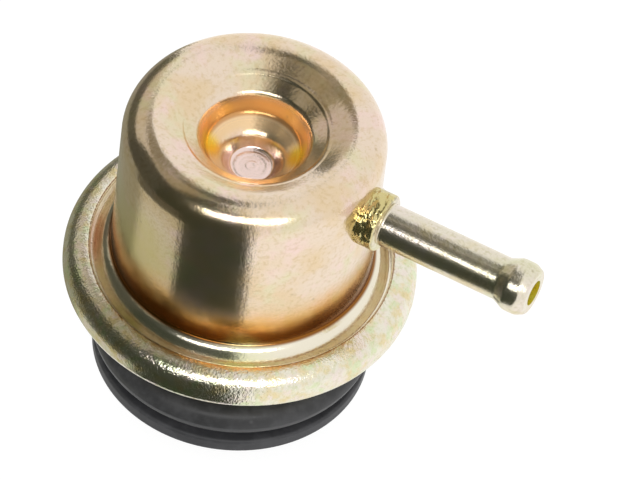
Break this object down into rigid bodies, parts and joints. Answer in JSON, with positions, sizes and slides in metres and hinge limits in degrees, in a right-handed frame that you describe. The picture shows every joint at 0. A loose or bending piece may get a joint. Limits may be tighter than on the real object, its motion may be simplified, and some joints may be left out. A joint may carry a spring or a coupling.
{
  "type": "fuel pressure regulator",
  "caption": "Round diaphragm fuel pressure regulator: pressed spring cup with a setting dimple and side vacuum nipple, crimped rim, sealed pilot, strainer and return stem.",
  "frame": {"origin": "on the regulator's axis, at the flange face that seats on the fuel rail, where the pilot begins", "axes": "+Z along the axis from the return stem up to the spring housing, +X along the vacuum nipple"},
  "size_m": [0.0555, 0.04, 0.0479],
  "materials": {
    "yellow_zinc": "yellow chromate zinc plate, satin",
    "turned_steel": "turned, clear plated",
    "pressed_steel": "pressed, plain zinc",
    "spring_steel": "drawn wire",
    "mesh_steel": "fine woven",
    "ball_steel": "ground and polished",
    "seat_brass": "turned",
    "seal_rubber": "smooth satin",
    "diaphragm_rubber": "fabric reinforced",
    "strainer_plastic": "moulded, fine grain"
  },
  "bodies": {
    "casing": {"spring_housing": "yellow_zinc", "vacuum_nipple": "yellow_zinc", "lower_housing": "yellow_zinc", "return_stem": "turned_steel", "valve_seat": "seat_brass", "body_o_ring": "seal_rubber", "stem_o_ring": "seal_rubber", "strainer_frame": "strainer_plastic", "strainer_mesh": "mesh_steel", "spring_seat": "pressed_steel", "main_spring": "spring_steel", "diaphragm": "diaphragm_rubber"},
    "valve_group": {"spring_cup": "pressed_steel", "diaphragm_support": "pressed_steel", "valve_carrier": "seat_brass", "valve_ball": "ball_steel"}
  },
  "joints": [
    {"name": "valve_lift", "type": "slide", "parent": "casing", "child": "valve_group", "axis": [0, 0, 1], "range_m": [0, 0.0006], "stiffness_N_per_m": 20000, "deforming": ["main_spring", "diaphragm"]}
  ]
}
